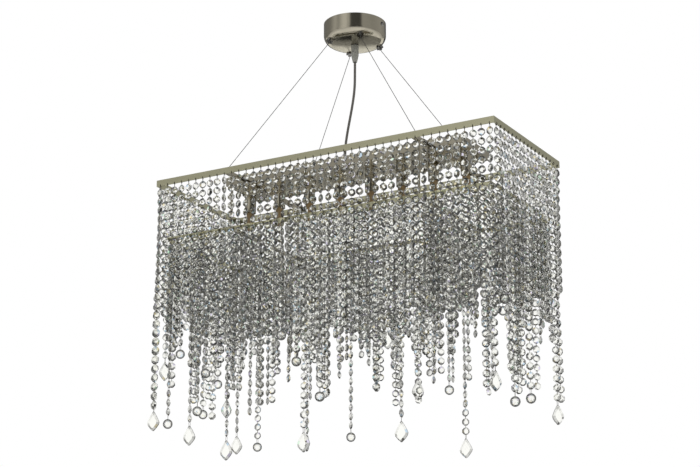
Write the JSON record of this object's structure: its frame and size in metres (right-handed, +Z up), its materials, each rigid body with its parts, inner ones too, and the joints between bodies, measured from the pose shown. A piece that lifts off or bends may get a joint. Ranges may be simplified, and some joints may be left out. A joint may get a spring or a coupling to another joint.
{
  "type": "rectangular crystal chandelier",
  "caption": "Rectangular metal frame hung on steel cables from a round canopy, with curtains of crystal strands, a shorter inner grid of strands and a row of capsule lamps.",
  "frame": {"origin": "middle of the ceiling bracket and of the canopy's rim, on the ceiling plane", "axes": "+X along the long side to the right, +Y to the back, +Z up"},
  "size_m": [0.767, 0.3129, 0.8965],
  "materials": {
    "polished_nickel": "polished warm nickel plate",
    "champagne_strip": "satin to polished champagne nickel strip",
    "chrome_fittings": "bright chrome plate",
    "zinc_steel": "zinc plated steel",
    "steel_cable": "fine twisted steel wire",
    "grey_plastic": "translucent grey plastic",
    "white_plastic": "moulded white plastic",
    "ceramic": "glazed white ceramic",
    "amber_lamp": "amber phosphor lamp capsule, unlit",
    "crystal": "clear cut crystal"
  },
  "bodies": {
    "canopy_unit": {"ceiling_bracket": "zinc_steel", "canopy": "polished_nickel", "terminal_block": "white_plastic", "gripper_bodies": "chrome_fittings", "gripper_nuts": "zinc_steel", "cord_nipple": "chrome_fittings", "cord_nipple_nut": "zinc_steel", "cord_grip": "grey_plastic", "grip_screw": "chrome_fittings", "cord_tail": "grey_plastic", "cable_tails": "steel_cable"},
    "gripper_nose_1": {"gripper_nose_1": "chrome_fittings"},
    "gripper_nose_2": {"gripper_nose_2": "chrome_fittings"},
    "gripper_nose_3": {"gripper_nose_3": "chrome_fittings"},
    "gripper_nose_4": {"gripper_nose_4": "chrome_fittings"},
    "side_screw_left": {"side_screw_left": "chrome_fittings"},
    "side_screw_right": {"side_screw_right": "chrome_fittings"},
    "frame": {"suspension_cables": "steel_cable", "power_cord": "grey_plastic", "frame_front_rail": "champagne_strip", "frame_back_rail": "champagne_strip", "frame_left_rail": "champagne_strip", "frame_right_rail": "champagne_strip", "cross_bars": "polished_nickel", "cable_anchors": "chrome_fittings", "lamp_tray": "polished_nickel", "tray_lid": "polished_nickel", "lid_screws": "chrome_fittings", "cord_grommet": "grey_plastic", "tray_terminal": "white_plastic", "lamp_sleeves": "polished_nickel", "lamp_holders": "ceramic", "bulbs": "amber_lamp", "grid_front_rail": "champagne_strip", "grid_back_rail": "champagne_strip", "grid_left_rail": "champagne_strip", "grid_right_rail": "champagne_strip", "grid_cross_bars": "polished_nickel", "hanger_rods": "polished_nickel", "inner_front_strands": "crystal", "inner_back_strands": "crystal", "inner_left_strands": "crystal", "inner_right_strands": "crystal", "cross_left_strands": "crystal", "cross_right_strands": "crystal"},
    "front_curtain": {"front_strands": "crystal", "front_drops": "crystal", "front_balls": "crystal"},
    "back_curtain": {"back_strands": "crystal", "back_drops": "crystal", "back_balls": "crystal"},
    "left_curtain": {"left_strands": "crystal", "left_pendants": "crystal"},
    "right_curtain": {"right_strands": "crystal", "right_pendants": "crystal"}
  },
  "joints": [
    {"name": "gripper_1_release", "type": "slide", "parent": "canopy_unit", "child": "gripper_nose_1", "axis": [0.2876, 0.3308, 0.8988], "range_m": [0, 0.002], "stiffness_N_per_m": 500, "springref_m": -0.002},
    {"name": "gripper_2_release", "type": "slide", "parent": "canopy_unit", "child": "gripper_nose_2", "axis": [0.2876, -0.3308, 0.8988], "range_m": [0, 0.002], "stiffness_N_per_m": 500, "springref_m": -0.002},
    {"name": "gripper_3_release", "type": "slide", "parent": "canopy_unit", "child": "gripper_nose_3", "axis": [-0.2876, 0.3308, 0.8988], "range_m": [0, 0.002], "stiffness_N_per_m": 500, "springref_m": -0.002},
    {"name": "gripper_4_release", "type": "slide", "parent": "canopy_unit", "child": "gripper_nose_4", "axis": [-0.2876, -0.3308, 0.8988], "range_m": [0, 0.002], "stiffness_N_per_m": 500, "springref_m": -0.002},
    {"name": "side_screw_left_turn", "type": "hinge", "parent": "canopy_unit", "child": "side_screw_left", "pos_m": [-0.063, 0, -0.011], "axis": [-1, 0, 0], "continuous": true},
    {"name": "side_screw_right_turn", "type": "hinge", "parent": "canopy_unit", "child": "side_screw_right", "pos_m": [0.063, 0, -0.011], "axis": [1, 0, 0], "continuous": true},
    {"name": "frame_lift", "type": "slide", "parent": "canopy_unit", "child": "frame", "axis": [0, 0, 1], "range_m": [0, 0.12], "deforming": ["power_cord", "suspension_cables"]},
    {"name": "front_curtain_swing", "type": "hinge", "parent": "frame", "child": "front_curtain", "pos_m": [0, -0.1465, -0.3274], "axis": [-1, 0, 0], "range_deg": [0, 35]},
    {"name": "back_curtain_swing", "type": "hinge", "parent": "frame", "child": "back_curtain", "pos_m": [0, 0.1465, -0.3274], "axis": [1, 0, 0], "range_deg": [0, 35]},
    {"name": "left_curtain_swing", "type": "hinge", "parent": "frame", "child": "left_curtain", "pos_m": [-0.374, 0, -0.3274], "axis": [0, 1, 0], "range_deg": [0, 35]},
    {"name": "right_curtain_swing", "type": "hinge", "parent": "frame", "child": "right_curtain", "pos_m": [0.374, 0, -0.3274], "axis": [0, -1, 0], "range_deg": [0, 35]}
  ]
}
